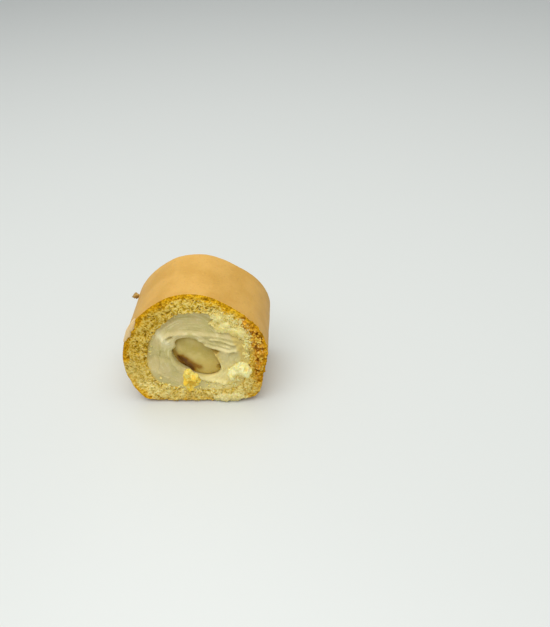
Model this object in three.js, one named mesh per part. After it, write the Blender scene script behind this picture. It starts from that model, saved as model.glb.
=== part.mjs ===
// A chunky slice of Swiss roll: one sheet of sponge rolled once round cream and a whole banana, cut across.
// X runs across the cut face, Y along the roll from the near cut to the far one, and Z up from the board.
// The origin is on the board, under the middle of the slice. All sizes are in millimetres.
import * as THREE from "three";

// Driving dimensions
const WIDTH = 76; // the roll, side to side
const HEIGHT = 66; // the roll, settled a little under its own weight
const FOOT_LENGTH = 44; // along the roll where it lies on the board
const FACE_LEAN = THREE.MathUtils.degToRad(7); // the near cut slants back towards its top
const CLEARANCE = 0.35; // between one piece and the next
const SEAM_WIDTH = 0.6; // between the two ends of the sheet

const HALF_WIDTH = WIDTH / 2;
const NEAR_Y = -FOOT_LENGTH / 2;
const FAR_Y = FOOT_LENGTH / 2;

// A place on the cut face, from percentages of the half width and of the height.
const at = (across, up) => new THREE.Vector2((across / 100) * HALF_WIDTH, (up / 100) * HEIGHT);

// Stations clockwise from the middle of the foot: skin across and up, then filling side across and up.
const STATIONS = [
  [5, 0, 5, 12],
  [-39, 0, -32, 14],
  [-76, 3, -58, 20],
  [-96, 23, -67, 32],
  [-100, 44, -67, 45],
  [-88, 67, -59, 60],
  [-62, 85, -41, 73],
  [-24, 98, -16, 83],
  [16, 99, 13, 84],
  [55, 88, 41, 77],
  [86, 72, 62, 64],
  [99, 52, 73, 48],
  [92, 27, 70, 30],
  [82, 7, 59, 17],
  [47, 0, 34, 13],
];
const COUNT = STATIONS.length;
const SEAM_SKIN = 13.55; // station where the two ends of the sheet meet, on the skin
const SEAM_FILLING = 12.9; // and on the filling side, as the ends are cut at a slant

function closedLine(points) {
  const line = new THREE.CatmullRomCurve3(
    points.map((p) => new THREE.Vector3(p.x, p.y, 0)),
    true,
    "centripetal",
  );
  return (station) => {
    const share = THREE.MathUtils.euclideanModulo(station / COUNT, 1);
    const p = line.getPoint(share);
    return new THREE.Vector2(p.x, Math.max(p.y, 0));
  };
}
const skinLine = closedLine(STATIONS.map(([x, z]) => at(x, z)));
const fillingLine = closedLine(STATIONS.map(([, , x, z]) => at(x, z)));

// Seeded value noise from -1 to 1, on a lattice with one step for each unit
const HASH = { across: 127.1, up: 311.7, seed: 74.7, spread: 43758.5453 };
function latticeValue(i, j, seed) {
  const v = Math.sin(i * HASH.across + j * HASH.up + seed * HASH.seed) * HASH.spread;
  return 2 * (v - Math.floor(v)) - 1;
}
function noise(x, z, seed) {
  const i = Math.floor(x);
  const j = Math.floor(z);
  const u = THREE.MathUtils.smoothstep(x - i, 0, 1);
  const v = THREE.MathUtils.smoothstep(z - j, 0, 1);
  const low = THREE.MathUtils.lerp(latticeValue(i, j, seed), latticeValue(i + 1, j, seed), u);
  const high = THREE.MathUtils.lerp(latticeValue(i, j + 1, seed), latticeValue(i + 1, j + 1, seed), u);
  return THREE.MathUtils.lerp(low, high, v);
}

// How far a point is from a line of straight stretches, positive on the left of the line's run
function beside(path, p) {
  let best = Infinity;
  path.slice(1).forEach((end, i) => {
    const run = end.clone().sub(path[i]);
    const off = p.clone().sub(path[i]);
    const share = THREE.MathUtils.clamp(off.dot(run) / run.lengthSq(), 0, 1);
    const away = off.distanceTo(run.clone().multiplyScalar(share));
    if (away < Math.abs(best)) best = run.cross(off) > 0 ? away : -away;
  });
  return best;
}

// A hill that falls off over a width
const hill = (away, width) => Math.exp(-((away / width) ** 2));

// Cut faces: each gives Y at a place on the face, and a positive relief stands out of the slice
const nearPlane = (p) => NEAR_Y + p.y * Math.tan(FACE_LEAN);
const faceY = (p, relief, near) => (near ? nearPlane(p) - relief : FAR_Y + relief);

// Scraps stuck to the near cut: a torn flake of sponge with two wings, and a two-lobed lump of creamy crumb
const FLAKE = {
  centre: at(-9.5, 22),
  outline: [
    [-13, 33], [-8, 31.5], [-5, 28.5], [1, 26.5], [3.5, 21.5], [0, 17.5],
    [-6, 15], [-9, 11.5], [-14, 11], [-19, 15], [-21, 23], [-18.5, 30],
  ].map(([x, z]) => at(x, z)),
  thick: 1.2,
  lumps: [
    { place: at(-14, 29), width: 1.6, rise: 1.8 },
    { place: at(-17, 20.5), width: 1.7, rise: 2.1 },
    { place: at(-4, 25), width: 1.9, rise: 2.6 },
    { place: at(0, 21), width: 1.5, rise: 1.2 },
    { place: at(-12, 13), width: 1.5, rise: 1.2 },
    { place: at(-9, 19), width: 1.5, rise: -2 },
  ], // a negative rise is a notch
  seed: 5,
};
const LUMP = {
  centre: at(58, 32),
  outline: [
    [58, 39], [70, 37], [76, 31], [71, 25], [62, 26],
    [55, 26], [48, 23], [43, 28], [46, 34],
  ].map(([x, z]) => at(x, z)),
  thick: 1.4,
  lumps: [
    { place: at(48, 28), width: 2.6, rise: 2.6 },
    { place: at(67, 31.5), width: 3.2, rise: 2.8 },
    { place: at(59, 36), width: 2.4, rise: 1.6 },
    { place: at(58, 27), width: 1.6, rise: -1.4 },
  ],
  seed: 9,
};
const SCRAPS = [FLAKE, LUMP];
const SCRAP_ROOM = 2.5; // the cut is smooth this far round a scrap

// How far a scrap reaches from its centre, at an angle
function scrapLine(scrap) {
  const line = new THREE.CatmullRomCurve3(
    scrap.outline.map((p) => new THREE.Vector3(p.x, p.y, 0)),
    true,
    "centripetal",
  );
  return (share) => {
    const p = line.getPoint(share);
    return new THREE.Vector2(p.x, p.y);
  };
}
function scrapReach(scrap) {
  return Math.max(...scrap.outline.map((p) => p.distanceTo(scrap.centre)));
}
function smoothUnderScraps(p) {
  const clear = SCRAPS.map((scrap) => {
    const reach = scrapReach(scrap);
    return THREE.MathUtils.smoothstep(p.distanceTo(scrap.centre), reach, reach + SCRAP_ROOM);
  });
  return Math.min(...clear);
}

// Sponge: open crumb on both cuts, roughest down the right of the near one, where the sheet is torn
const CRUMB = { coarse: 3.1, fine: 1.3, coarseRise: 0.35, fineRise: 0.3, tornRise: 1.1 };
const TORN = { path: [at(74, 75), at(88, 62), at(92, 42), at(84, 14)], reach: 7 };
function crumbRelief(p, depth, near) {
  const seed = near ? 1 : 2;
  const torn = near ? hill(beside(TORN.path, p), TORN.reach) : 0;
  const neatEdge = THREE.MathUtils.lerp(THREE.MathUtils.smoothstep(depth, 0, 0.25), 1, torn);
  const coarse = noise(p.x / CRUMB.coarse, p.y / CRUMB.coarse, seed);
  const fine = noise(p.x / CRUMB.fine, p.y / CRUMB.fine, seed + 2);
  const relief = neatEdge * (coarse * (CRUMB.coarseRise + torn * CRUMB.tornRise) + fine * CRUMB.fineRise);
  return near ? relief * smoothUnderScraps(p) : relief;
}

// Maps every corner of a subdivided block or turned shape to its place in the slice.
function reshape(geometry, place) {
  const corners = geometry.getAttribute("position");
  const from = new THREE.Vector3();
  for (let i = 0; i < corners.count; i += 1) {
    const to = place(from.fromBufferAttribute(corners, i));
    corners.setXYZ(i, to.x, to.y, to.z);
  }
  geometry.computeVertexNormals();
  return geometry;
}

// The sheet is a flat block, rolled up: x goes round it, y through it from skin to filling, z along the roll.
const SHEET_STEPS = { round: 150, through: 7, along: 2 };
function spongeSheet() {
  const flat = new THREE.BoxGeometry(1, 1, 1, SHEET_STEPS.round, SHEET_STEPS.through, SHEET_STEPS.along);
  const gap = SEAM_WIDTH / (skinLine(SEAM_SKIN).distanceTo(skinLine(SEAM_SKIN + 1)));
  return reshape(flat, (block) => {
    const round = block.x + 0.5;
    const depth = block.y + 0.5;
    const along = block.z + 0.5;
    const seam = THREE.MathUtils.lerp(SEAM_SKIN, SEAM_FILLING, depth);
    const station = seam + gap / 2 + round * (COUNT - gap);
    const p = skinLine(station).lerp(fillingLine(station), depth);
    const near = faceY(p, crumbRelief(p, depth, true), true);
    const far = faceY(p, crumbRelief(p, depth, false), false);
    return new THREE.Vector3(p.x, THREE.MathUtils.lerp(near, far, along), p.y);
  });
}

// Banana: a slanting oval with three faint lobes, sunk below the cream and deepest at its upper end
const BANANA_TILT = THREE.MathUtils.degToRad(-41.5);
const BANANA = { centre: at(0.5, 43.6), long: 14.6, short: 9.9, lobe: 0.03 };
const BANANA_SUNK = { above: 2.8, below: 0.7, rim: 0.8, slope: 9 };
function bananaRadius(angle) {
  const turned = angle - BANANA_TILT;
  const oval = 1 / Math.hypot(Math.cos(turned) / BANANA.long, Math.sin(turned) / BANANA.short);
  return oval * (1 + BANANA.lobe * Math.cos(3 * turned));
}
const BANANA_STEPS = { round: 48, out: 5, along: 3 };
function bananaCore() {
  const profile = [];
  for (let i = 0; i <= BANANA_STEPS.out; i += 1) profile.push(new THREE.Vector2(i / BANANA_STEPS.out, 0));
  for (let i = 1; i <= BANANA_STEPS.along; i += 1) profile.push(new THREE.Vector2(1, i / BANANA_STEPS.along));
  for (let i = BANANA_STEPS.out - 1; i >= 0; i -= 1) profile.push(new THREE.Vector2(i / BANANA_STEPS.out, 1));
  return reshape(new THREE.LatheGeometry(profile, BANANA_STEPS.round), (turned) => {
    const share = Math.hypot(turned.x, turned.z);
    const angle = Math.atan2(turned.z, turned.x);
    const reach = bananaRadius(angle) * share;
    const p = new THREE.Vector2(Math.cos(angle), Math.sin(angle)).multiplyScalar(reach).add(BANANA.centre);
    const upper = THREE.MathUtils.smoothstep(p.y - BANANA.centre.y, -BANANA_SUNK.slope, BANANA_SUNK.slope);
    const sunk = THREE.MathUtils.lerp(BANANA_SUNK.below, BANANA_SUNK.above, upper);
    const dome = -sunk - BANANA_SUNK.rim * share ** 5;
    const y = THREE.MathUtils.lerp(faceY(p, dome, true), faceY(p, dome, false), turned.y);
    return new THREE.Vector3(p.x, y, p.y);
  });
}

// Cream: dragged by the knife into ridges round the banana. Each stroke is a ridge with a width above its line
// and one below, or a hollow where its rise is negative. The first is the edge of a shelf, and the cream above
// it is set back.
const SHELF_EDGE = [
  [-46, 51], [-43, 59.5], [-34, 63.5], [-20, 65],
  [0, 64.5], [21, 63.5], [42, 61.5], [58, 59],
].map(([x, z]) => at(x, z));
const STROKES = [
  { path: SHELF_EDGE, above: 1.4, below: 1.8, rise: 0.8 },
  { path: [at(14, 59.5), at(34, 58), at(54, 55)], above: 1.5, below: 1.6, rise: 0.7 },
  { path: [at(16, 54.5), at(30, 52.5), at(44, 50.5), at(56, 50)], above: 1.5, below: 1.6, rise: 1.1 },
  { path: [at(-36, 77), at(-14, 80), at(10, 81), at(28, 79)], above: 4, below: 4, rise: -1.2 },
  { path: [at(26, 76), at(46, 73), at(68, 64)], above: 3.5, below: 2.6, rise: 1.9 },
  { path: [at(44, 50), at(49, 46)], above: 3, below: 3, rise: 0.9 },
  { path: [at(63, 56), at(65, 45), at(62, 34)], above: 1.5, below: 1.5, rise: -0.6 },
  { path: [at(-63, 42.5), at(-37, 42)], above: 1.5, below: 1.6, rise: -0.7 },
  { path: [at(-54, 29), at(-42, 24.5)], above: 1.5, below: 1.5, rise: 0.7 },
  { path: [at(5, 24.5), at(16, 22.5), at(37, 18.5)], above: 1.7, below: 1.5, rise: 1 },
  { path: [at(-60, 56), at(-52, 48), at(-48, 38), at(-46, 30)], above: 1.6, below: 1.5, rise: 0.5 },
  { path: [at(-36, 46), at(-32, 38), at(-24, 31)], above: 1.6, below: 1.5, rise: 0.8 },
];
const SHELF = { step: 1.5, edge: [0.2, 2.6], fade: [9, 15] };
const CREAM_ROUGH = { step: 4.2, rise: 0.35 };

function creamRelief(p, near) {
  const side = near ? p : new THREE.Vector2(-p.x, p.y);
  const strokes = STROKES.map(({ path, above, below, rise }) => {
    const away = beside(path, side);
    return rise * hill(away, away > 0 ? above : below);
  });
  const rough = CREAM_ROUGH.rise * noise(p.x / CREAM_ROUGH.step, p.y / CREAM_ROUGH.step, near ? 6 : 7);
  const past = beside(SHELF_EDGE, side);
  const set = THREE.MathUtils.smoothstep(past, ...SHELF.edge);
  const back = set - THREE.MathUtils.smoothstep(past, ...SHELF.fade);
  const relief = strokes.reduce((sum, one) => sum + one, rough) - SHELF.step * back;
  return near ? relief * smoothUnderScraps(p) : relief;
}
const CREAM_STEPS = { round: 84, out: 14, along: 2 };
const RING = { inner: 1, outer: 2 };
function creamFilling() {
  const { inner, outer } = RING;
  const profile = [];
  const side = (from, to, steps) => {
    for (let i = 0; i < steps; i += 1) profile.push(new THREE.Vector2().lerpVectors(from, to, i / steps));
  };
  const corners = [[inner, 0], [outer, 0], [outer, 1], [inner, 1]].map(([x, y]) => new THREE.Vector2(x, y));
  side(corners[0], corners[1], CREAM_STEPS.out);
  side(corners[1], corners[2], CREAM_STEPS.along);
  side(corners[2], corners[3], CREAM_STEPS.out);
  side(corners[3], corners[0], CREAM_STEPS.along);
  profile.push(corners[0].clone());
  return reshape(new THREE.LatheGeometry(profile, CREAM_STEPS.round), (turned) => {
    const share = (Math.hypot(turned.x, turned.z) - inner) / (outer - inner);
    const clockwise = Math.atan2(turned.x, turned.z); // from straight up
    const station = ((clockwise - Math.PI) / (2 * Math.PI)) * COUNT;
    const rim = fillingLine(station).sub(BANANA.centre);
    const angle = rim.angle();
    const rimReach = rim.length() - CLEARANCE;
    const holeReach = bananaRadius(angle) + CLEARANCE;
    const reach = THREE.MathUtils.lerp(holeReach, rimReach, share);
    const p = new THREE.Vector2(Math.cos(angle), Math.sin(angle)).multiplyScalar(reach).add(BANANA.centre);
    const near = faceY(p, creamRelief(p, true), true);
    const far = faceY(p, creamRelief(p, false), false);
    return new THREE.Vector3(p.x, THREE.MathUtils.lerp(near, far, turned.y), p.y);
  });
}

// A scrap is a flattened ball with a craggy front and a flat back, lying on the leaning cut.
const SCRAP_STEPS = { round: 28, over: 14 };
const SCRAP_CRAGS = { step: 2.1, rise: 0.3 };
const SCRAP_LEAST = 0.6; // thickness of a scrap at its notches
const SCRAP_GAP = CLEARANCE + 0.1; // between the cut and the middle of a scrap's slightly domed back
const SCRAP_BACK = 0.05;
function scrap(shape) {
  const outline = scrapLine(shape);
  return reshape(new THREE.SphereGeometry(1, SCRAP_STEPS.round, SCRAP_STEPS.over), (ball) => {
    // The ball's axis is Y; its equator becomes the scrap's outline.
    const share = Math.hypot(ball.x, ball.z);
    const round = THREE.MathUtils.euclideanModulo(Math.atan2(ball.x, ball.z) / (2 * Math.PI), 1);
    const p = shape.centre.clone().lerp(outline(round), share);
    const front = ball.y < 0;
    const crag = SCRAP_CRAGS.rise * noise(p.x / SCRAP_CRAGS.step, p.y / SCRAP_CRAGS.step, shape.seed);
    const lumps = shape.lumps.map(({ place, width, rise }) => rise * hill(p.distanceTo(place), width));
    const thick = Math.max(SCRAP_LEAST, lumps.reduce((sum, one) => sum + one, shape.thick + crag));
    const out = front ? thick * (-ball.y) ** 0.6 : -SCRAP_BACK * ball.y;
    return new THREE.Vector3(p.x, nearPlane(p) - SCRAP_GAP - out, p.y);
  });
}

// Finishes
const finish = (color, roughness) => new THREE.MeshStandardMaterial({ color, roughness, metalness: 0 });
const pieces = {
  sponge: [spongeSheet(), finish("#dcae5a", 0.85)],
  cream: [creamFilling(), finish("#ede0b4", 0.45)],
  banana: [bananaCore(), finish("#d8c48a", 0.4)],
  sponge_flake: [scrap(FLAKE), finish("#e8bb52", 0.85)],
  crumb_lump: [scrap(LUMP), finish("#f3e6ae", 0.7)],
};

const slice = new THREE.Group();
for (const [name, [geometry, material]] of Object.entries(pieces)) {
  const mesh = new THREE.Mesh(geometry, material);
  mesh.name = name;
  slice.add(mesh);
}

export default slice;
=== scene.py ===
import functools
import math
import random

import bmesh
import bpy
from mathutils import Matrix, Vector, geometry, noise


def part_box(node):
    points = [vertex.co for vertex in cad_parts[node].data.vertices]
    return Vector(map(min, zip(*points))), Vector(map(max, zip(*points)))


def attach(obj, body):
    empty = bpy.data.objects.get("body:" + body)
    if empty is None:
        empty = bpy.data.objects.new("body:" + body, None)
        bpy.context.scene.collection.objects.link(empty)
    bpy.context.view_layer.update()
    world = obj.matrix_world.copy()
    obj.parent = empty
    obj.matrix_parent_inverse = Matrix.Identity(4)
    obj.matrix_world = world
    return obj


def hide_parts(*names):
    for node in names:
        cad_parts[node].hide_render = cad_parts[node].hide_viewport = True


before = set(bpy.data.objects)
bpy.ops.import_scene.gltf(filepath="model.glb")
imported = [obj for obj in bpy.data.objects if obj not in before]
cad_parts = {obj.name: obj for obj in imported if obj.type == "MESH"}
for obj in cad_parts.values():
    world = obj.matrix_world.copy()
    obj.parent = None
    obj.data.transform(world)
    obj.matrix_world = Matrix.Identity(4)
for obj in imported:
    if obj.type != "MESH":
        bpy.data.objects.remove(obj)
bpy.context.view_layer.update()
MM = 0.001

# Camera
# It looks down on the near cut from in front, a little from the right, and is held slightly crooked.
CAMERA_PLACE = Vector((52.05, -252.3, 238.8)) * MM
CAMERA_TURN = math.radians(2.465)
CAMERA_DOWN = math.radians(37.85)
CAMERA_ROLL = math.radians(-2.109)
CAMERA_LENS = 34.94

lens = bpy.data.cameras.new("camera")
lens.lens = CAMERA_LENS
lens.clip_start = 10 * MM
camera = bpy.data.objects.new("camera", lens)
turn = Matrix.Rotation(CAMERA_TURN, 3, "Z")
tilt = Matrix.Rotation(math.pi / 2 - CAMERA_DOWN, 3, "X")
roll = Matrix.Rotation(CAMERA_ROLL, 3, "Z")
camera.location = CAMERA_PLACE
camera.rotation_euler = (turn @ tilt @ roll).to_euler()
bpy.context.collection.objects.link(camera)
bpy.context.scene.camera = camera
bpy.context.scene.view_settings.view_transform = "Standard"

# Floor and light
# A wide pale satin floor, lit by one big soft lamp overhead and a dim, even room.
FLOOR_HALF = 3.0
FLOOR_COLOUR = (0.71, 0.725, 0.69, 1)
ROOM_COLOUR = (0.93, 0.97, 1.0, 1)
ROOM_STRENGTH = 0.42
LAMP_SIDE = 1.5
LAMP_PLACE = Vector((-0.08, -0.16, 1.15))
LAMP_POWER = 15.5

floor_mesh = bmesh.new()
bmesh.ops.create_grid(floor_mesh, x_segments=1, y_segments=1, size=FLOOR_HALF)
bmesh.ops.translate(floor_mesh, vec=(0, 0, -0.05 * MM), verts=floor_mesh.verts)
floor_data = bpy.data.meshes.new("floor")
floor_mesh.to_mesh(floor_data)
floor_mesh.free()
floor_finish = bpy.data.materials.new("floor")
floor_finish.use_nodes = True
floor_shader = floor_finish.node_tree.nodes["Principled BSDF"]
floor_shader.inputs["Base Color"].default_value = FLOOR_COLOUR
floor_shader.inputs["Roughness"].default_value = 0.35
floor_data.materials.append(floor_finish)
floor = bpy.data.objects.new("floor", floor_data)
bpy.context.collection.objects.link(floor)

room = bpy.data.worlds.new("room")
room.use_nodes = True
room.node_tree.nodes["Background"].inputs["Color"].default_value = ROOM_COLOUR
room.node_tree.nodes["Background"].inputs["Strength"].default_value = ROOM_STRENGTH
bpy.context.scene.world = room
lamp_data = bpy.data.lights.new("lamp", "AREA")
lamp_data.size = LAMP_SIDE
lamp_data.energy = LAMP_POWER
lamp = bpy.data.objects.new("lamp", lamp_data)
lamp.location = LAMP_PLACE
lamp.rotation_euler = (-LAMP_PLACE).to_track_quat("-Z", "Y").to_euler()
bpy.context.collection.objects.link(lamp)

# Sponge
# One thin sheet of whisked sponge, its baked side smooth and tan, spread with cream and rolled up once.
# The knife left a granular, porous crumb on both cuts, and tore the skin down the right of the near one.
low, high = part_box("sponge")
HALF_WIDTH = (high.x - low.x) / 2
HEIGHT = high.z
FOOT_LENGTH = 44 * MM
CUT_LEAN = math.radians(7)
STATIONS = (
    (5, 0, 5, 12), (-39, 0, -32, 14), (-76, 3, -58, 20), (-96, 23, -67, 32), (-100, 44, -67, 45),
    (-88, 67, -59, 60), (-62, 85, -41, 73), (-24, 98, -16, 83), (16, 99, 13, 84), (55, 88, 41, 77),
    (86, 72, 62, 64), (99, 52, 73, 48), (92, 27, 70, 30), (82, 7, 59, 17), (47, 0, 34, 13),
)  # clockwise from the middle of the foot: skin across and up, filling side across and up, in percent
COUNT = len(STATIONS)
SEAM_SKIN = 13.55
SEAM_FILLING = 12.9
SEAM_GAP = 0.012  # in stations
SHEET_STEPS = (700, 40, 26)  # round the roll, through the sheet, along the roll


def on_cut(across, up):
    """A place on the cut, from percentages of the half width and of the height."""
    return Vector((across / 100 * HALF_WIDTH, up / 100 * HEIGHT))


def closed_line(points):
    """A smooth closed line through points, which gives the place at a station."""

    @functools.lru_cache(maxsize=None)
    def place(station):
        first = math.floor(station)
        a, b, c, d = (points[(first + i) % len(points)] for i in (-1, 0, 1, 2))
        ab, bc, cd = ((q - p).length ** 0.5 for p, q in ((a, b), (b, c), (c, d)))
        leave = ((b - a) / ab - (c - a) / (ab + bc) + (c - b) / bc) * bc
        arrive = ((c - b) / bc - (d - b) / (bc + cd) + (d - c) / cd) * bc
        t = station - first
        rest = (2 * t**3 - 3 * t**2 + 1) * b + (t**3 - 2 * t**2 + t) * leave
        spot = rest + (3 * t**2 - 2 * t**3) * c + (t**3 - t**2) * arrive
        return Vector((spot.x, max(spot.y, 0)))

    return place


skin_line = closed_line([on_cut(s[0], s[1]) for s in STATIONS])
filling_line = closed_line([on_cut(s[2], s[3]) for s in STATIONS])


def smooth(value, start, end):
    """Goes smoothly from 0 at start to 1 at end."""
    t = min(max((value - start) / (end - start), 0), 1)
    return t * t * (3 - 2 * t)


def beside(path, p):
    """How far p is from a line of straight stretches, positive on the left of its run."""
    best = math.inf
    for start, end in zip(path, path[1:]):
        spot, share = geometry.intersect_point_line(p, start, end)
        spot = spot.to_2d() if 0 <= share <= 1 else (start if share < 0 else end)
        away = (p - spot).length
        if away < abs(best):
            best = away if (end - start).cross(p - start) > 0 else -away
    return best


def bell(distance, half_width):
    """1 at no distance, falling off smoothly past the half width."""
    return math.exp(-((distance / half_width) ** 2))


def band(half_width, *places):
    """A band along a line of places on the cut, in percent. Its half width is in millimetres."""
    return [on_cut(x, z) for x, z in places], half_width


def in_band(p, line, half_width):
    """1 on the line of a band, falling off smoothly past its half width."""
    return bell(beside(line, p) / MM, half_width)


def cut_y(p, relief, near):
    """Y at a place on a cut. A positive relief stands out of the slice."""
    return -FOOT_LENGTH / 2 + p.y * math.tan(CUT_LEAN) - relief if near else FOOT_LENGTH / 2 + relief


def divided_block(steps):
    """A block one metre each way, divided into steps along X, Y and Z."""
    bm = bmesh.new()
    bmesh.ops.create_cube(bm, size=1)
    for axis, count in enumerate(steps):
        along = [e for e in bm.edges if abs(e.verts[0].co[axis] - e.verts[1].co[axis]) > 0.5]
        bmesh.ops.subdivide_edges(bm, edges=along, cuts=count - 1, use_grid_fill=True)
    return bm


TORN = band(5.5, (74, 75), (88, 62), (92, 42), (89, 27))
SMEARED = band(5.5, (26, 80), (48, 75), (66, 64), (74, 54))
PALE_FOOT = band(7.5, (-91, 34), (-78, 20), (-60, 10), (-40, 5), (0, 3), (45, 5), (74, 14))
BROWNED = band(7, (-96, 58), (-98, 36))
# Darkening of the crumb: more olive towards the upper left, and painted shade along the foot and low up the
# right side.
DARKER_LEFT = band(13, (-56, 84), (-84, 64), (-88, 38))
PAINTED_FOOT_SHADE = band(4.5, (-56, 2), (0, 1), (56, 2), (78, 10), (88, 26), (92, 40))
DARKER_FAR = 0.3  # darker all over the far cut
EDGE_CRUST = 1.2  # millimetres of browned crumb under the skin
BROWNED_CRUST = 1.9  # and so much more along BROWNED
WIDE_BUBBLE = 2.2
SMALL_BUBBLE = 1.3
TORN_CHUNKS = 1.7  # half heights of the torn side's relief, in millimetres
TORN_FIBRES = 0.6
SKIN_WAVER = 0.22
FOOT_LIFT = 1.3 * MM  # how far the edge of a cut stands off the floor


def bubbles(spot, size, shift):
    """0 on the walls between bubbles of about size millimetres, 1 in the middle of a wide one."""
    first, second = noise.voronoi(spot / size + Vector((shift, 0, 0)))[0][:2]
    return smooth(second - first, 0.04, 0.50)


def crumb(p, seed, torn, neat):
    """The crumb at a place on a cut: its relief in millimetres, and how far the place is inside a bubble."""
    spot = Vector((p.x / MM, p.y / MM, seed * 40))
    swirl = Vector((noise.noise(spot / 1.7), noise.noise(spot / 1.7 + Vector((0, 0, 9))), 0)) * 0.8
    openness = smooth(noise.noise(spot / 3.0 + Vector((0, 5, 0))), -0.25, 0.35)
    wide = bubbles(spot + swirl, WIDE_BUBBLE, 0) * openness
    closeness = 0.45 + 0.55 * smooth(noise.noise(spot / 2.2), -0.3, 0.3)
    small = bubbles(spot + swirl, SMALL_BUBBLE, 50) * closeness
    swell = 0.40 * noise.fractal(spot / 4.5, 1, 2, 3)
    chunk = torn * TORN_CHUNKS * noise.fractal(spot / 3.2, 0.7, 2, 4)
    fibre = torn * TORN_FIBRES * noise.fractal(Vector((spot.x / 1.1, spot.y / 2.6, seed)), 0.9, 2, 3)
    relief = swell + chunk + fibre + (0.46 - 0.75 * wide - 0.60 * small) * (1 - 0.85 * torn)
    pore = min(1, 0.65 * wide + 0.75 * small) * (1 - 0.85 * torn) + smooth(-chunk - fibre, 0.1, 1.1)
    return relief * (0.12 + 0.88 * neat), min(1, pore)


sponge_bm = divided_block(SHEET_STEPS)
under_skin_layer = sponge_bm.verts.layers.float.new("under_skin")
pore_layer = sponge_bm.verts.layers.float.new("pore")
torn_layer = sponge_bm.verts.layers.float.new("torn")
soaked_layer = sponge_bm.verts.layers.float.new("soaked")
baked_layer = sponge_bm.verts.layers.float.new("baked")
darkening_layer = sponge_bm.verts.layers.float.new("darkening")
for face in sponge_bm.faces:
    on_skin = all(v.co.y < -0.4999 for v in face.verts)
    face.material_index = 0 if on_skin else 1
for vert in sponge_bm.verts:
    around = vert.co.x + 0.5
    depth = vert.co.y + 0.5
    along = 0.5 + 0.5 * math.sin(math.pi * vert.co.z)
    seam = SEAM_SKIN + (SEAM_FILLING - SEAM_SKIN) * depth
    station = seam + SEAM_GAP / 2 + around * (COUNT - SEAM_GAP)
    skin = skin_line(station)
    filling = filling_line(station)
    p = skin.lerp(filling, depth)
    outward = (skin - filling).normalized()
    thickness = (skin - filling).length / MM
    near = along < 0.5
    flat_y = cut_y(p, 0, True) * (1 - along) + cut_y(p, 0, False) * along
    from_cut = min(flat_y - cut_y(p, 0, True), cut_y(p, 0, False) - flat_y) / MM
    torn = in_band(p, *TORN) if near else 0
    soft = in_band(p, *PALE_FOOT) if near else 0
    soaked = in_band(p, *SMEARED) if near else 0
    neat = max(smooth(depth * thickness, 0, 1.5), torn, 0.7 * soft)
    fade = bell(from_cut, 1.0 + 2.5 * torn)
    relief, pore = 0, 0
    if fade > 0.01:
        relief, pore = crumb(p, 1 if near else 2, max(torn, 0.35 * soft), neat)
        ragged = Vector((p.x / MM, p.y / MM, 7)) / 1.9
        wander = Vector((noise.noise(ragged), noise.noise(ragged + Vector((0, 0, 30)))))
        inner = smooth(depth, 0.5, 1.0)
        p = p + wander * fade * MM * ((0.12 + 1.1 * torn + 0.6 * soft) * neat + 1.2 * inner)
    spot = Vector((p.x, flat_y, p.y)) / MM
    waver = SKIN_WAVER * noise.fractal(spot / 14, 1, 2, 2) + 0.05 * noise.noise(spot / 2.6)
    p = p + outward * waver * MM * (1 - depth)
    side = -1 if near else 1
    foot_lift = FOOT_LIFT * (1 - smooth(depth * thickness, 0, 2.5)) * bell(from_cut, 1.1)
    foot_lift *= 1 - smooth(p.y / MM, 0, 3)
    vert.co = (p.x, flat_y + side * relief * fade * MM, max(p.y, 0) + foot_lift)
    vert[under_skin_layer] = depth * thickness
    vert[pore_layer] = pore * fade
    vert[torn_layer] = torn
    vert[soaked_layer] = max(soaked, 0.7 * soft)
    vert[baked_layer] = in_band(p, *BROWNED) if near else 0
    vert[darkening_layer] = max(in_band(p, *DARKER_LEFT), in_band(p, *PAINTED_FOOT_SHADE)) if near else DARKER_FAR


def new_material(name):
    """An empty node material: the material, its shader, and a maker of nodes that gives back the node."""
    material = bpy.data.materials.new(name)
    material.use_nodes = True
    tree = material.node_tree

    def node(kind, inputs=None, **settings):
        made = tree.nodes.new("ShaderNode" + kind)
        for setting, value in settings.items():
            setattr(made, setting, value)
        for socket, value in (inputs or {}).items():
            if isinstance(value, bpy.types.NodeSocket):
                tree.links.new(value, made.inputs[socket])
            else:
                made.inputs[socket].default_value = value
        return made

    return material, tree.nodes["Principled BSDF"], node


def blend(node, share, first, second, way="MIX"):
    """Mixes two colours; each is a value or another node's output."""
    made = node("Mix", {0: share, 6: first, 7: second}, data_type="RGBA", blend_type=way)
    return made.outputs[2]


def between(node, value, start, end, low_value=0.0, high_value=1.0):
    """Turns a range of one value into a range of another, smoothly and clamped."""
    inputs = {"Value": value, "From Min": start, "From Max": end, "To Min": low_value, "To Max": high_value}
    return node("MapRange", inputs, interpolation_type="SMOOTHSTEP").outputs["Result"]


def times(node, first, second):
    """Multiplies two values."""
    return node("Math", {0: first, 1: second}, operation="MULTIPLY").outputs[0]


def plus(node, first, second):
    """Adds two values."""
    return node("Math", {0: first, 1: second}, operation="ADD").outputs[0]


def scaled(node, value, factor, shift):
    """Multiplies a value by a factor and adds a shift."""
    return node("Math", {0: value, 1: factor, 2: shift}, operation="MULTIPLY_ADD").outputs[0]


def mottle(node, place, scale, detail):
    """Random patches, finer with a larger scale."""
    return node("TexNoise", {"Vector": place, "Scale": scale, "Detail": detail}).outputs["Fac"]


def marked(node, name):
    """What the mesh's own attribute of that name says."""
    return node("Attribute", attribute_name=name).outputs["Fac"]


def roughened(node, strength, depth, height):
    """A fine relief, its depth in millimetres."""
    return node("Bump", {"Strength": strength, "Distance": depth * MM, "Height": height}).outputs["Normal"]


def let_light_in(shader, weight, shares, depth):
    """Lets light into a soft surface, each of red, green and blue by its share of a depth in millimetres."""
    shader.inputs["Subsurface Weight"].default_value = weight
    shader.inputs["Subsurface Radius"].default_value = shares
    shader.inputs["Subsurface Scale"].default_value = depth * MM


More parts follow.
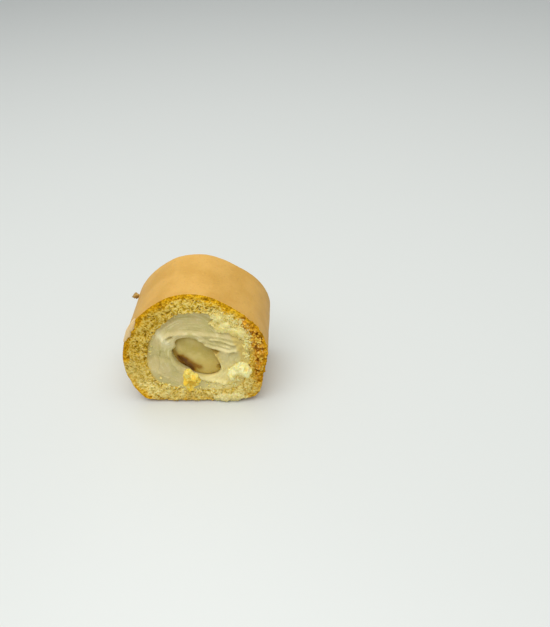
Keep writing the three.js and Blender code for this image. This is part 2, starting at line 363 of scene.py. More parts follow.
def link(material, source, target):
    """Joins a node's output to a socket of the material."""
    material.node_tree.links.new(source, target)


def skin_material():
    """Smooth baked skin: satin tan, mottled by faint pale and brown specks, with tiny dimples."""
    material, shader, node = new_material("baked skin")
    place = node("TexCoord").outputs["Object"]
    cloud = mottle(node, place, 75, 3)
    speck = mottle(node, place, 900, 3)
    dimple = node("TexVoronoi", {"Vector": place, "Scale": 620}).outputs["Distance"]
    tan = blend(node, between(node, cloud, 0.35, 0.65), (0.64, 0.350, 0.064, 1), (0.71, 0.405, 0.090, 1))
    flecked = blend(node, between(node, speck, 0.52, 0.75, 0, 0.35), tan, (0.77, 0.49, 0.13, 1))
    spotted = blend(node, between(node, speck, 0.44, 0.26, 0, 0.40), flecked, (0.49, 0.24, 0.045, 1))
    pricked = blend(node, between(node, dimple, 0.16, 0.03, 0, 0.30), spotted, (0.41, 0.195, 0.035, 1))
    bump = roughened(node, 0.5, 0.12, plus(node, between(node, dimple, 0.0, 0.25), speck))
    link(material, pricked, shader.inputs["Base Color"])
    link(material, between(node, speck, 0.3, 0.7, 0.48, 0.66), shader.inputs["Roughness"])
    link(material, bump, shader.inputs["Normal"])
    shader.inputs["Specular IOR Level"].default_value = 0.35
    let_light_in(shader, 0.12, (1.0, 0.45, 0.12), 1.2)
    return material


def crumb_material(title, outer, inner):
    """Open crumb, golden under the skin and paler inwards. outer and inner: shades of pit, body and wall;
    pits are painted shade.
    """
    material, shader, node = new_material(title)
    place = node("TexCoord").outputs["Object"]
    names = ("under_skin", "pore", "torn", "soaked", "baked", "darkening")
    under, pore, torn, soaked, baked, darkening = (marked(node, name) for name in names)
    cloud = mottle(node, place, 230, 3)
    fleck = node("TexNoise", {"Vector": place, "Scale": 520, "Detail": 3, "Distortion": 1.0}).outputs["Fac"]
    uneven = scaled(node, cloud, 7.0, -3.5)
    inward = between(node, plus(node, under, uneven), 1.8, 5.0)
    pit, body, wall = (blend(node, inward, first, second) for first, second in zip(outer, inner))
    wet = between(node, times(node, soaked, cloud), 0.15, 0.42)
    wet_pit_shade = blend(node, wet, pit, (0.48, 0.37, 0.055, 1))
    wet_body = blend(node, wet, body, (0.92, 0.69, 0.18, 1))
    wet_wall = blend(node, wet, wall, (1.0, 0.85, 0.34, 1))
    rough = between(node, times(node, torn, cloud), 0.14, 0.36)
    dark_fleck_and_pit_shade = blend(node, rough, wet_pit_shade, (0.30, 0.105, 0.006, 1))
    torn_body = blend(node, rough, wet_body, (0.63, 0.265, 0.003, 1))
    torn_wall = blend(node, rough, wet_wall, (0.95, 0.51, 0.045, 1))
    pale_share = times(node, between(node, pore, 0.45, 0.10), between(node, fleck, 0.42, 0.56))
    walled = blend(node, pale_share, torn_body, torn_wall)
    glint = mottle(node, place, 1250, 2)
    lit_share = times(node, between(node, glint, 0.55, 0.68, 0, 0.7), between(node, under, 1.5, 4.0))
    glinted = blend(node, lit_share, walled, (1.0, 0.86, 0.40, 1))
    flecked = blend(node, between(node, fleck, 0.46, 0.34, 0, 0.65), glinted, dark_fleck_and_pit_shade)
    # painted shade: the crumb darker in its pores and torn crevices
    pit_shaded = blend(node, between(node, pore, 0.35, 0.80, 0, 0.80), flecked, dark_fleck_and_pit_shade)
    # darker and more olive where darkening says: painted shade along the foot and low on the right, a plain
    # darkening at the upper left and on the far cut
    olive = blend(node, between(node, darkening, 0.1, 0.9, 0, 0.9), pit_shaded, (0.80, 0.75, 0.58, 1), "MULTIPLY")
    dry = between(node, soaked, 0.5, 0.1)
    calm_share = times(node, between(node, under, 2.4, 0.8, 0, 0.55), dry)
    calm = blend(node, calm_share, olive, outer[1])
    grit = mottle(node, place, 1000, 3)
    crust_reach = scaled(node, baked, BROWNED_CRUST, EDGE_CRUST)
    crust_grain = plus(node, scaled(node, baked, uneven, 0.3), scaled(node, grit, 13.0, -6.5))
    crust_depth = plus(node, under, crust_grain)
    crust = node("Math", {0: crust_reach, 1: crust_depth}, operation="SUBTRACT").outputs[0]
    crust_share = times(node, between(node, crust, 0.0, 0.8, 0, 0.75), dry)
    browned = blend(node, between(node, grit, 0.42, 0.60), (0.44, 0.205, 0.004, 1), (0.74, 0.375, 0.012, 1))
    edged = blend(node, crust_share, calm, browned)
    bump = roughened(node, 0.7, 0.25, plus(node, fleck, between(node, pore, 0.5, 0.0, 0, 0.5)))
    link(material, edged, shader.inputs["Base Color"])
    link(material, bump, shader.inputs["Normal"])
    shader.inputs["Roughness"].default_value = 0.95
    shader.inputs["Specular IOR Level"].default_value = 0.1
    let_light_in(shader, 0.08, (1.0, 0.5, 0.12), 0.6)
    return material


def finished(bm, name, materials, node):
    """Makes the object of a piece: it rides with the slice, and may stand for one of its solids."""
    mesh = bpy.data.meshes.new(name)
    bm.to_mesh(mesh)
    bm.free()
    mesh.shade_smooth()
    for material in materials:
        mesh.materials.append(material)
    piece = bpy.data.objects.new(name, mesh)
    bpy.context.collection.objects.link(piece)
    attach(piece, "root")
    if node:
        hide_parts(node)


# Pit, body and wall colours. The pit colour is painted shade in pores and crevices, and also colours random
# dark flecks.
OUTER_CRUMB = ((0.47, 0.230, 0.002, 1), (0.87, 0.450, 0.003, 1), (1.0, 0.63, 0.050, 1))
INNER_CRUMB = ((0.37, 0.22, 0.005, 1), (0.80, 0.51, 0.040, 1), (1.0, 0.76, 0.20, 1))
crumb_finish = crumb_material("sponge crumb", OUTER_CRUMB, INNER_CRUMB)
finished(sponge_bm, "rolled_sponge", [skin_material(), crumb_finish], "sponge")

# Banana
# A whole peeled banana rolled up in the cream. Its cut is a slanting oval with three faint lobes, sunk below
# the cream, olive where it has turned in the air, and brown along a bruise at its lower left.
BANANA_CENTRE = on_cut(0.5, 43.6)
BANANA_LONG = 14.6 * MM
BANANA_SHORT = 9.9 * MM
BANANA_TILT = math.radians(-41.5)
BANANA_LOBE = 0.03
BANANA_SUNK = (2.8, 0.7)  # millimetres below the cut at its top and at its bottom
BANANA_ROUND = 160  # steps round it
BRUISE = band(1.5, (-25, 41), (-19, 34.5), (-12, 30.5))
BRUISE_SUNK = 1.4  # millimetres
BROWN = band(2.9, (-19.5, 40), (-12, 35), (-6, 32))
BROWN_TAILS = (
    (0.65, band(2.0, (-12, 36), (-3, 34.5), (4, 32.5))),
    (0.5, band(1.6, (-28, 46), (-22, 39))),
)  # how brown each is, and where
BANANA_HOLLOWS = (
    (1.6, band(1.0, (-32, 59.5), (-26, 61))),
    (2.4, band(1.0, (31, 33), (35, 29.5))),
    (0.8, band(0.9, (0, 26), (14, 24), (29, 27))),
)  # the depth of each in millimetres, and where it is


def banana_reach(angle):
    """From the banana's middle to its side, at an angle."""
    turned = angle - BANANA_TILT
    oval = 1 / math.hypot(math.cos(turned) / BANANA_LONG, math.sin(turned) / BANANA_SHORT)
    return oval * (1 + BANANA_LOBE * math.cos(3 * turned))


def turned_outline(corners, cuts, steps, closed):
    """An outline of straight sides, each cut into equal steps, turned once round the Y axis."""
    bm = bmesh.new()
    points = [bm.verts.new((x, y, 0)) for x, y in corners]
    ends = points[1:] + points[:1] if closed else points[1:]
    sides = [bm.edges.new(pair) for pair in zip(points, ends)]
    for side, count in zip(sides, cuts):
        bmesh.ops.subdivide_edges(bm, edges=[side], cuts=count - 1)
    outline = bm.verts[:] + bm.edges[:]
    bmesh.ops.spin(bm, geom=outline, axis=(0, 1, 0), angle=2 * math.pi, steps=steps, use_merge=True)
    bmesh.ops.remove_doubles(bm, verts=bm.verts, dist=1e-5)
    bmesh.ops.recalc_face_normals(bm, faces=bm.faces)
    return bm


banana_bm = turned_outline([(0, 0), (1, 0), (1, 1), (0, 1)], (44, 18, 20), BANANA_ROUND, False)
bruise_layer = banana_bm.verts.layers.float.new("bruise")
rim_layer = banana_bm.verts.layers.float.new("rim")
ripe_layer = banana_bm.verts.layers.float.new("ripe")
for vert in banana_bm.verts:
    share = math.hypot(vert.co.x, vert.co.z)
    angle = math.atan2(vert.co.z, vert.co.x)
    along = 0.5 - 0.5 * math.cos(math.pi * vert.co.y)
    p = BANANA_CENTRE + Vector((math.cos(angle), math.sin(angle))) * banana_reach(angle) * share
    spot = Vector((p.x, p.y, 0)) / MM
    hollow = in_band(p, *BRUISE)
    bruise = max(0.9 * hollow, in_band(p, *BROWN))
    for strength, tail in BROWN_TAILS:
        bruise = max(bruise, strength * in_band(p, *tail))
    bruise *= 1 + 0.40 * noise.fractal(spot / 3.2, 0.9, 2, 3)
    upper = smooth((p.y - BANANA_CENTRE.y) / MM, -9, 9)
    dome = -BANANA_SUNK[1] - (BANANA_SUNK[0] - BANANA_SUNK[1]) * upper
    dome += -0.8 * share**5 + 0.10 * math.cos(3 * (angle - BANANA_TILT)) * share
    dome += 0.14 * noise.fractal(spot / 5, 1, 2, 3) + 0.04 * noise.noise(spot / 0.8)
    near_dome = dome - BRUISE_SUNK * hollow
    for sunk, dip in BANANA_HOLLOWS:
        near_dome -= sunk * in_band(p, *dip)
    near_y = cut_y(p, near_dome * MM, True)
    far_y = cut_y(p, dome * MM, False)
    vert.co = (p.x, near_y + (far_y - near_y) * along, p.y)
    vert[bruise_layer] = bruise if along < 0.5 else 0
    vert[rim_layer] = share
    vert[ripe_layer] = smooth((BANANA_CENTRE.y - p.y) / MM, -2, 8)


def banana_material():
    """Moist banana flesh: olive beige, painted darker towards its rim as shade, brown where it is bruised."""
    material, shader, node = new_material("banana flesh")
    place = node("TexCoord").outputs["Object"]
    bruise, rim, ripe = (marked(node, name) for name in ("bruise", "rim", "ripe"))
    cloud = mottle(node, place, 160, 3)
    fibre = mottle(node, place, 1400, 2)
    flesh = blend(node, between(node, cloud, 0.35, 0.65), (0.58, 0.45, 0.110, 1), (0.72, 0.58, 0.195, 1))
    golden = blend(node, between(node, ripe, 0.0, 1.0, 0, 0.75), flesh, (0.66, 0.47, 0.095, 1))
    # painted shade: the flesh darker towards its rim, where it sits below the cream
    edge = blend(node, between(node, rim, 0.72, 1.0, 0, 0.75), golden, (0.50, 0.34, 0.055, 1))
    fine = blend(node, between(node, fibre, 0.5, 0.72, 0, 0.25), edge, (0.68, 0.57, 0.25, 1))
    brown = plus(node, bruise, scaled(node, cloud, 0.5, -0.25))
    halo = blend(node, between(node, brown, 0.05, 0.65), fine, (0.33, 0.155, 0.002, 1))
    core = blend(node, between(node, brown, 0.50, 1.0), halo, (0.145, 0.052, 0.002, 1))
    link(material, core, shader.inputs["Base Color"])
    link(material, roughened(node, 0.35, 0.1, fibre), shader.inputs["Normal"])
    shader.inputs["Roughness"].default_value = 0.42
    shader.inputs["Specular IOR Level"].default_value = 0.3
    let_light_in(shader, 0.35, (1.0, 0.7, 0.25), 2)
    return material


finished(banana_bm, "banana_core", [banana_material()], "banana")

# Cream
# Whipped cream, spread on the sheet before it was rolled, so it fills all the room round the banana. A knife
# dragged it into ridges, left a ledge and folds above the banana, and pulled a soft lip over its upper edge.
SHELF_LINE = [(-46, 51), (-43, 59.5), (-34, 63.5), (-20, 65), (0, 64.5), (21, 63.5), (42, 61.5), (58, 59)]
STROKES = (
    (SHELF_LINE, 0.7, 1.0, 0.5),
    ([(22, 60.5), (32, 60.5), (44, 58.5), (56, 56)], 0.5, 0.8, 1.2),
    ([(8, 59.5), (20, 58), (34, 56), (52, 54)], 0.6, 1.0, 0.8),
    ([(16, 55.5), (30, 53.5), (44, 51.5), (56, 51)], 0.8, 1.3, 1.6),
    ([(17, 52.5), (24, 50), (32, 49)], 0.6, 0.6, -1.3),
    ([(28, 46), (33, 40), (36, 34)], 0.6, 0.8, 1.5),
    ([(-36, 77), (-14, 80), (10, 81), (28, 79)], 4.0, 4.0, -1.2),
    ([(44, 50), (49, 46)], 3.0, 3.0, 0.9),
    ([(63, 58), (65, 45), (62, 34)], 1.0, 1.0, -0.6),
    ([(-63, 42.5), (-37, 42)], 1.2, 1.6, -0.7),
    ([(-54, 29), (-42, 24.5)], 0.8, 0.5, 0.7),
    ([(5, 24.5), (16, 22.5), (37, 18.5)], 1.4, 0.8, 1.5),
    ([(-60, 56), (-52, 48), (-48, 38), (-46, 30)], 1.6, 0.8, 0.5),
    ([(-36, 46), (-32, 38), (-24, 31)], 1.6, 1.2, 0.8),
    ([(34, 43), (36, 33)], 1.2, 1.0, 0.8),
    ([(-36, 60.5), (-30, 62)], 0.5, 0.5, -1.4),
    ([(-38, 57.5), (-33, 58.5)], 0.5, 0.7, 0.8),
    ([(-43, 61.5), (-38, 64.5)], 1.8, 1.8, 1.0),
    ([(40, 46), (52, 42)], 2.0, 2.4, 0.8),
    ([(44, 55), (60, 50)], 0.8, 1.4, 0.6),
)  # a line in percent, its half widths above and below in millimetres, and its rise, negative for a hollow
CREAM_STROKES = [([on_cut(x, z) for x, z in line], *shape) for line, *shape in STROKES]
SHELF = [on_cut(x, z) for x, z in SHELF_LINE]
SHELF_STEP = 1.2  # the cream above the shelf's line lies this far back, in millimetres
JUICE_AND_GROOVE_SHADE = band(1.3, (12, 53.5), (20, 51), (29, 48.5))  # a fold's groove, dark brown: partly stained by the banana's juice, partly painted shade
SEEPED = band(2.2, (19, 50), (25, 47), (30, 41))  # where the juice has seeped on, more faintly
PAINTED_HIGHLIGHT = band(3.2, (-49, 65), (-42, 60), (-37, 57))  # a painted highlight on the thick cream by the banana's upper left end
CREAM_SHADES = ((0.71, 0.58, 0.25, 1), (0.62, 0.53, 0.190, 1))
CREAM_ROUND = 400  # steps round the banana
CREAM_TUCK = 0.25 * MM  # the cream reaches this far under the crumb
LIP_SHARE = 0.09  # the lip's width, as a share of the cream's from the banana to the sheet
LIP_REACH = 1.2  # how far it hangs over the banana, in millimetres
LIP_DEEP = 1.6  # and how thick it is there
LOBE_ANGLE = 2.62  # a lobe of cream, folded down over the banana's upper left end
LOBE_HALF = 0.17
LOBE_SHARE = 0.2
LOBE_REACH = 2.0


def cream_relief(p, near):
    """Height of the cream at a place on a cut, in millimetres."""
    side = p if near else Vector((-p.x, p.y))
    coarse = Vector((side.x / MM, side.y / MM, 20)) / 6
    side = side + Vector((0, 0.7 * noise.noise(coarse) + 0.25 * noise.noise(coarse * 3))) * MM
    relief = 0
    for line, above, below, rise in CREAM_STROKES:
        away = beside(line, side) / MM
        relief += rise * bell(away, above if away > 0 else below)
    shelf = beside(SHELF, side) / MM
    relief -= SHELF_STEP * smooth(shelf, 0.1, 1.8) * (1 - smooth(shelf, 9, 15))
    spot = Vector((p.x / MM, p.y / MM, 5 if near else 15))
    out = (p - BANANA_CENTRE) / MM
    drag = Vector((math.atan2(out.y, out.x) * 2.2, out.length / 0.7, 3))
    swell = 0.45 * noise.fractal(spot / 5.5, 1, 2, 3)
    relief += swell + 0.20 * noise.noise(drag) + 0.05 * noise.noise(spot / 0.9)
    pillowy = smooth(side.x / HALF_WIDTH, 0.2, 0.45) * smooth(p.y / HEIGHT, 0.64, 0.54)
    relief += 0.9 * pillowy * abs(noise.noise(spot / 3.4)) + 0.35 * pillowy * abs(noise.noise(spot / 1.6))
    return relief


cream_bm = turned_outline([(1, 0), (2, 0), (2, 1), (1, 1)], (56, 14, 40, 14), CREAM_ROUND, True)
edge_layer = cream_bm.verts.layers.float.new("edge")
lit_low_layer = cream_bm.verts.layers.float.new("foot")
juice_and_shade_layer = cream_bm.verts.layers.float.new("juice")
streak_and_highlight_layer = cream_bm.verts.layers.float.new("streak")
for vert in cream_bm.verts:
    share = math.hypot(vert.co.x, vert.co.z) - 1
    clockwise = math.atan2(vert.co.x, vert.co.z)
    along = 0.5 - 0.5 * math.cos(math.pi * vert.co.y)
    rim = filling_line((clockwise - math.pi) / (2 * math.pi) * COUNT % COUNT) - BANANA_CENTRE
    angle = math.atan2(rim.y, rim.x)
    hole = banana_reach(angle) + 0.03 * MM
    reach = hole + (rim.length + CREAM_TUCK - hole) * share
    p = BANANA_CENTRE + Vector((math.cos(angle), math.sin(angle))) * reach
    overhang = LIP_REACH * max(0, math.sin(angle + 0.35)) * bell(share, LIP_SHARE)
    overhang += LOBE_REACH * bell(angle - LOBE_ANGLE, LOBE_HALF) * bell(share, LOBE_SHARE)
    p_near = p - rim.normalized() * MM * overhang * bell(along * FOOT_LENGTH / MM, LIP_DEEP)
    rounding = 0.5 + 0.5 * max(0, math.sin(angle))
    lip = -rounding * max(0, 1 - share / LIP_SHARE) ** 2 - 0.2 * smooth(share, 0.95, 1.0)
    near_relief = cream_relief(p_near, True)
    near_y = cut_y(p_near, (near_relief + lip) * MM, True)
    far_y = cut_y(p, (cream_relief(p, False) + lip) * MM, False)
    vert.co = (p_near.x, near_y + (far_y - near_y) * along, p_near.y)
    vert[edge_layer] = share + 0.25 * smooth(p.x / HALF_WIDTH, 0.3, 0.6)
    # painted light: the cream made lighter low on the cut and towards the right
    vert[lit_low_layer] = smooth(p.y / HEIGHT, 0.60, 0.20) * smooth(p.x / HALF_WIDTH, -0.1, 0.3)
    swept = Vector((angle * 2.0, (reach - hole) / MM / 1.3 + 0.6 * math.sin(angle * 3), 8))
    calm = smooth(p.y / HEIGHT - 0.3 * p.x / HALF_WIDTH, 0.65, 0.45)
    # painted highlight: the crests of the relief made whiter, and the blob by the banana's upper left end
    crest_highlight = 0.6 * smooth(near_relief, 0.5, 1.9)
    streak = smooth(noise.fractal(swept, 0.9, 2, 3), 0.0, 0.6) * (1 - 0.6 * calm)
    white_highlight = 1.5 * in_band(p_near, *PAINTED_HIGHLIGHT) if along < 0.5 else 0
    vert[streak_and_highlight_layer] = max(streak, crest_highlight, white_highlight)
    # the groove under a fold is partly painted shade, partly juice stain
    stain = max(in_band(p_near, *JUICE_AND_GROOVE_SHADE), 0.38 * in_band(p_near, *SEEPED))
    vert[juice_and_shade_layer] = stain if along < 0.5 else 0


def cream_material(name, pale, deep):
    """Pale whipped cream: satin, whiter in streaks, stained by juice and by the sponge, with painted light
    and shade.
    """
    material, shader, node = new_material(name)
    place = node("TexCoord").outputs["Object"]
    edge, foot, juice, streak = (marked(node, mark) for mark in ("edge", "foot", "juice", "streak"))
    cloud = mottle(node, place, 110, 3)
    fine = mottle(node, place, 1300, 2)
    bubble = node("TexVoronoi", {"Vector": place, "Scale": 500}).outputs["Distance"]
    base = blend(node, between(node, cloud, 0.35, 0.65), pale, deep)
    speckled = blend(node, between(node, fine, 0.55, 0.75, 0, 0.3), base, (0.93, 0.85, 0.55, 1))
    # whiter in streaks and, as painted highlight, on crests
    swirled = blend(node, between(node, streak, 0.0, 1.0, 0, 0.55), speckled, (0.90, 0.80, 0.42, 1))
    # painted highlight on the blob by the banana's upper left end
    highlighted = blend(node, between(node, streak, 1.0, 1.5, 0, 0.7), swirled, (0.98, 0.90, 0.55, 1))
    painted_light_low = blend(node, between(node, foot, 0.0, 1.0, 0, 0.9), highlighted, (0.95, 0.80, 0.33, 1))
    seeped = blend(node, between(node, juice, 0.05, 0.45, 0, 0.9), painted_light_low, (0.80, 0.57, 0.11, 1))
    # dark brown in the groove under a fold: partly juice stain, partly painted shade
    stain_and_groove_shade = blend(node, between(node, juice, 0.4, 0.75, 0, 0.9), seeped, (0.42, 0.255, 0.018, 1))
    stained = blend(node, between(node, edge, 0.86, 1.0, 0, 0.7), stain_and_groove_shade, (0.77, 0.57, 0.13, 1))
    bump = roughened(node, 0.25, 0.08, plus(node, fine, between(node, bubble, 0.0, 0.12)))
    link(material, stained, shader.inputs["Base Color"])
    link(material, bump, shader.inputs["Normal"])
    shader.inputs["Roughness"].default_value = 0.46
    let_light_in(shader, 0.2, (1.0, 0.8, 0.45), 1.2)
    return material


cream_finish = cream_material("whipped cream", *CREAM_SHADES)
finished(cream_bm, "cream_filling", [cream_finish], "cream")

# Scraps on the cut
# A golden flake of sponge, torn off by the knife, and a pale lump of crumb soaked in cream. Both are stuck to
# the cut cream.
FLAKE_CENTRE = on_cut(-9.5, 22)
FLAKE_OUTLINE = (
    (-13, 33), (-8, 31.5), (-5, 28.5), (1, 26.5), (3.5, 21.5), (0, 17.5),
    (-6, 15), (-9, 11.5), (-14, 11), (-19, 15), (-21, 23), (-18.5, 30),
)
FLAKE_LUMPS = (
    ((-14, 29), 1.5, 1.8), ((-17, 20.5), 1.6, 2.3), ((-4, 25), 1.8, 2.8), ((0, 21), 1.4, 1.4),
    ((-12, 13), 1.5, 1.2), ((-9, 19), 1.4, -2.6), ((-10.5, 24), 0.9, -1.4),
)
LUMP_CENTRE = on_cut(58, 32)
LUMP_OUTLINE = ((58, 39), (70, 37), (76, 31), (71, 25), (62, 26), (55, 26), (48, 23), (43, 28), (46, 34))
LUMP_LUMPS = (
    ((48, 28), 2.6, 2.6), ((67, 31.5), 3.2, 2.8), ((59, 36), 2.4, 1.6), ((58, 27), 1.6, -1.6),
    ((46, 25), 1.6, 1.2), ((71, 27), 1.8, 1.2),
)  # of each scrap: where its lumps are, in percent, and their half widths and rises in millimetres
SCRAP_BASE = 1.2  # millimetres of thickness away from the lumps
SCRAP_LEAST = 0.5  # and at its notches
FLAKE_SHADES = ((0.97, 0.63, 0.045, 1), (1.0, 0.82, 0.20, 1), (0.72, 0.44, 0.010, 1))  # body, grains, and hollows painted darker as shade
LUMP_SHADES = ((1.0, 0.87, 0.33, 1), (1.0, 0.93, 0.48, 1), (0.86, 0.68, 0.17, 1))


def scrap(centre, outline, lumps, base, seed, laid=None):
    """A ball flattened on to the cream, or laid at a depth in millimetres, with lumps and a craggy front."""
    line = closed_line([on_cut(x, z) for x, z in outline])
    bm = bmesh.new()
    bmesh.ops.create_icosphere(bm, subdivisions=6, radius=1)
    pore_layer = bm.verts.layers.float.new("pore")
    for vert in bm.verts:
        share = math.hypot(vert.co.x, vert.co.z)
        clockwise = math.atan2(vert.co.x, vert.co.z) / (2 * math.pi) % 1
        p = centre.lerp(line(clockwise * len(outline)), share)
        spot = Vector((p.x / MM, p.y / MM, seed + 0.6 * vert.co.y))
        crag = 0.55 * noise.fractal(spot / 2.6, 0.9, 2, 4) - 0.30 * bubbles(spot, 2.4, 20)
        front = max(0, -vert.co.y)
        rise = base + crag
        sunk = 0
        for (x, z), width, lump_rise in lumps:
            lump_here = lump_rise * bell((p - on_cut(x, z)).length / MM, width)
            rise += lump_here
            sunk -= min(0, lump_here)
        height = max(rise, SCRAP_LEAST) * front**0.6 if front else -1.5 * vert.co.y
        ragged = Vector((noise.noise(spot / 1.1), noise.noise(spot / 1.1 + Vector((8, 0, 0)))))
        p = p + ragged * 0.9 * MM * share
        lift = cream_relief(p, True) * 0.5 if laid is None else laid
        vert.co = (p.x, cut_y(p, (height + lift) * MM, True), p.y)
        vert[pore_layer] = smooth(0.3 * sunk - crag, 0.15, 0.6)
    bmesh.ops.recalc_face_normals(bm, faces=bm.faces)
    return bm


def scrap_material(name, body, lit, hollow_shade):
    """Torn crumb of a scrap: a body colour, lighter grains, and hollows painted darker as shade."""
    material, shader, node = new_material(name)
    place = node("TexCoord").outputs["Object"]
    fleck = mottle(node, place, 1200, 2)
    grain = plus(node, mottle(node, place, 320, 2), fleck)
    bright = blend(node, between(node, grain, 0.9, 1.15), body, lit)
    # painted shade: hollows and notches darker
    deep = blend(node, between(node, marked(node, "pore"), 0.1, 1.0, 0, 0.8), bright, hollow_shade)
    link(material, deep, shader.inputs["Base Color"])
    link(material, roughened(node, 0.7, 0.2, fleck), shader.inputs["Normal"])
    shader.inputs["Roughness"].default_value = 0.75
    let_light_in(shader, 0.25, (1.0, 0.6, 0.2), 1.2)
    return material


flake_finish = scrap_material("flake crumb", *FLAKE_SHADES)
flake_bm = scrap(FLAKE_CENTRE, FLAKE_OUTLINE, FLAKE_LUMPS, SCRAP_BASE, 5)
finished(flake_bm, "torn_flake", [flake_finish], "sponge_flake")
lump_finish = scrap_material("soaked crumb", *LUMP_SHADES)
lump_bm = scrap(LUMP_CENTRE, LUMP_OUTLINE, LUMP_LUMPS, SCRAP_BASE, 9)
finished(lump_bm, "soaked_lump", [lump_finish], "crumb_lump")

# Dragged crumb
# The knife pulled a broad soft patch of crumb from the upper right of the sheet down on to the cream, and a
# touch of soaked crumb out under the foot. Both are pale and lumpy.
PATCH_CENTRE = on_cut(46, 73)
PATCH_OUTLINE = (
    (46, 84), (59, 81), (68, 77), (78, 69), (77, 57), (60, 59), (49, 64), (39, 65), (30, 66), (27, 71),
    (22, 73), (27, 77), (23, 81), (29, 84), (36, 86),
)
PATCH_LUMPS = (
    ((29, 80), 1.4, 0.8), ((28, 72), 1.2, 1.2), ((36, 79), 2.0, 1.2), ((41, 70), 2.2, 0.9),
    ((50, 74), 2.4, 1.1), ((59, 67), 2.0, 1.4), ((67, 66), 2.2, 1.5), ((33, 74), 1.6, -0.7),
    ((45, 77), 1.4, -0.8), ((56, 72), 1.3, -0.9),
)
PATCH_DEEP = -1.1  # it lies in the low cream above the shelf, in millimetres from the cut
PATCH_SHADES = ((0.90, 0.72, 0.22, 1), (1.0, 0.86, 0.36, 1), (0.62, 0.46, 0.08, 1))
TOUCH_CENTRE = on_cut(42, 4.2)
TOUCH_OUTLINE = (
    (41, 8.5), (53, 8), (63, 6.5), (66, 4), (56, 1.6), (44, 0.7), (32, 0.7), (22, 2), (19, 4.5), (29, 7.5),
)
TOUCH_LUMPS = (
    ((30, 4), 1.8, 0.7), ((41, 5), 1.8, 0.9), ((53, 4.5), 1.8, 0.8), ((36, 1.5), 1.4, 0.6),
    ((47, 2), 1.0, -0.6),
)
TOUCH_BASE = 1.0
TOUCH_SHADES = ((0.78, 0.65, 0.23, 1), (0.92, 0.80, 0.37, 1), (0.52, 0.41, 0.08, 1))

patch_finish = scrap_material("dragged crumb", *PATCH_SHADES)
patch_bm = scrap(PATCH_CENTRE, PATCH_OUTLINE, PATCH_LUMPS, SCRAP_BASE, 14, PATCH_DEEP)
finished(patch_bm, "dragged_crumb", [patch_finish], None)
touch_finish = scrap_material("foot cream", *TOUCH_SHADES)
touch_bm = scrap(TOUCH_CENTRE, TOUCH_OUTLINE, TOUCH_LUMPS, TOUCH_BASE, 21, 0)
finished(touch_bm, "foot_cream", [touch_finish], None)

# Crumbs
# Broken bits of sponge. Pale soaked ones line the inside of the sheet, where the knife dragged them into the
# cream. Dry golden ones hang along the torn side, and one browner crumb sticks high on the left flank.
PALE_RUNS = (
    ([(22, 83), (44, 78), (62, 71), (76, 60)], 2.0, 80, (0.7, 1.7)),
    ([(-60, 19), (-40, 13.5), (-12, 12.5), (18, 12.5), (42, 16), (60, 22)], 1.5, 100, (0.7, 1.7)),
    ([(-66, 44), (-62, 58), (-44, 72), (-18, 82), (12, 84)], 0.8, 50, (0.5, 1.1)),
    ([(15, 7), (40, 4), (62, 7), (76, 14)], 1.8, 50, (0.8, 1.8)),
    ([(70, 62), (72, 52), (71, 42)], 1.2, 40, (0.8, 2.0)),
    ([(10, 20), (24, 20), (44, 19)], 1.2, 22, (0.7, 1.5)),
)  # the line in percent, how far they stray, how many there are, and their sizes in millimetres
GOLDEN_RUNS = (
    ([(80, 68), (92, 50), (92, 34), (84, 16)], 2.0, 60, (0.8, 2.0)),
    ([(-40, 3), (-8, 2), (30, 2.5)], 1.0, 30, (0.6, 1.3)),
)
FLANK_STATION = 4.85
FLANK_Y = 17 * MM
FLANK_SIZE = 4.0
GOLDEN_SHADES = ((0.86, 0.51, 0.035, 1), (1.0, 0.70, 0.14, 1), (0.46, 0.22, 0.008, 1))
BROWN_SHADES = ((0.40, 0.23, 0.050, 1), (0.56, 0.35, 0.09, 1), (0.22, 0.10, 0.01, 1))
SKIN_PLACES = [skin_line(step / 20) for step in range(20 * COUNT)]
draw = random.Random(11)


def add_crumb(bm, centre, size):
    """Adds a ball of 80 faces, dented and turned at random. size is in millimetres."""
    made = bmesh.ops.create_icosphere(bm, subdivisions=2, radius=size / 2 * MM)["verts"]
    shift = Vector((draw.uniform(0, 400), 0, 0))
    stretch = Vector((1, draw.uniform(0.6, 1), draw.uniform(0.55, 0.9)))
    for vert in made:
        dent = 1 + 0.75 * noise.noise(vert.co / MM / size * 2.6 + shift)
        vert.co = Vector(a * b for a, b in zip(vert.co, stretch)) * dent
    axis = Vector((draw.uniform(-1, 1), draw.uniform(-1, 1), draw.uniform(-1, 1))).normalized()
    around = Matrix.Rotation(draw.uniform(0, math.tau), 3, axis)
    bmesh.ops.rotate(bm, cent=(0, 0, 0), matrix=around, verts=made)
    bmesh.ops.translate(bm, vec=centre, verts=made)


def in_cream(p):
    """Whether a place on the cut is inside the sheet."""
    angle = math.atan2(p.x - BANANA_CENTRE.x, p.y - BANANA_CENTRE.y)
    rim = filling_line(round((angle - math.pi) / math.tau * COUNT % COUNT, 2))
    return (p - BANANA_CENTRE).length < (rim - BANANA_CENTRE).length


def on_sheet(p, margin):
    """Whether a place on the cut is inside the skin by a margin."""
    middle = Vector((0, HEIGHT / 2))
    angle = math.atan2(p.x - middle.x, p.y - middle.y)
    reach = math.inf
    for place in SKIN_PLACES:
        ray = place - middle
        if abs(math.remainder(math.atan2(ray.x, ray.y) - angle, math.tau)) < 0.05:
            reach = min(reach, ray.length)
    return (p - middle).length < reach - margin


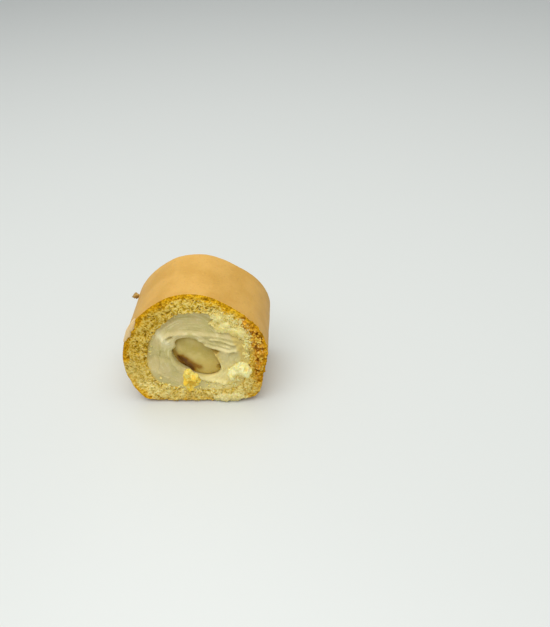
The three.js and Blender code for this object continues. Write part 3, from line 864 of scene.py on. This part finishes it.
def add_run(bm, line, stray, count, sizes):
    """Adds crumbs at random along a line on the near cut, and none past the skin."""
    path = [on_cut(x, z) for x, z in line]
    for _ in range(count):
        place = draw.uniform(0, len(path) - 1)
        first = math.floor(place)
        p = path[first].lerp(path[first + 1], place - first)
        p += Vector((draw.gauss(0, stray), draw.gauss(0, stray))) * MM
        size = draw.uniform(*sizes)
        p.y = max(p.y, 0.4 * size * MM)
        if not on_sheet(p, 0.3 * size * MM):
            continue
        relief = cream_relief(p, True) if in_cream(p) else -0.1
        y = cut_y(p, (relief + 0.05 * size) * MM, True)
        add_crumb(bm, (p.x, y, p.y), size)


def crumbs_along(runs):
    """The crumbs of several runs, in one mesh."""
    bm = bmesh.new()
    for run in runs:
        add_run(bm, *run)
    return bm


finished(crumbs_along(PALE_RUNS), "soaked_crumbs", [patch_finish], None)
golden_finish = scrap_material("dry crumb", *GOLDEN_SHADES)
finished(crumbs_along(GOLDEN_RUNS), "golden_crumbs", [golden_finish], None)
flank_bm = bmesh.new()
flank_skin = skin_line(FLANK_STATION)
flank_out = (flank_skin - filling_line(FLANK_STATION)).normalized()
for size, step in ((FLANK_SIZE, 0.42), (FLANK_SIZE * 0.6, 0.9)):
    spot = flank_skin + flank_out * size * step * MM
    add_crumb(flank_bm, (spot.x, FLANK_Y + (FLANK_SIZE - size) * MM, spot.y), size)
brown_finish = scrap_material("brown crumb", *BROWN_SHADES)
finished(flank_bm, "flank_crumb", [brown_finish], None)

# Cream smear
# A thin touch of cream, wiped by the knife on to the skin at the left. It goes a little way over the edge of
# the near cut.
SMEAR_STATIONS = (4.6, 5.6)
SMEAR_BACK = 3.2  # how far it reaches back from the cut, in millimetres
SMEAR_THICK = 0.55  # half its thickness
SMEAR_SHADES = ((0.88, 0.63, 0.31, 1), (0.82, 0.56, 0.25, 1))

smear_bm = bmesh.new()
bmesh.ops.create_icosphere(smear_bm, subdivisions=5, radius=1)
for vert in smear_bm.verts:
    station = SMEAR_STATIONS[0] + (SMEAR_STATIONS[1] - SMEAR_STATIONS[0]) * (0.5 + 0.5 * vert.co.x)
    skin = skin_line(round(station, 4))
    outward = (skin - filling_line(round(station, 4))).normalized()
    ragged = 0.8 * noise.noise(Vector((station * 5, vert.co.z * 2, 1)))
    ragged += 0.7 * noise.noise(Vector((station * 15, 0, 6)))
    back = SMEAR_BACK * (0.20 + 0.85 * vert.co.z) + ragged
    lift = SMEAR_THICK * (vert.co.y + 0.45) * (1 + 0.3 * noise.noise(Vector((station * 4, back / 2, 4))))
    behind, over = max(back, 0), max(-back, 0)
    turned = smooth(over, 0, 0.8)
    spot = skin + outward * (lift * (1 - turned) - over) * MM
    vert.co = (spot.x, cut_y(spot, lift * turned * MM, True) + behind * MM, spot.y)
bmesh.ops.recalc_face_normals(smear_bm, faces=smear_bm.faces)
smear_finish = cream_material("smeared cream", *SMEAR_SHADES)
finished(smear_bm, "skin_smear", [smear_finish], None)
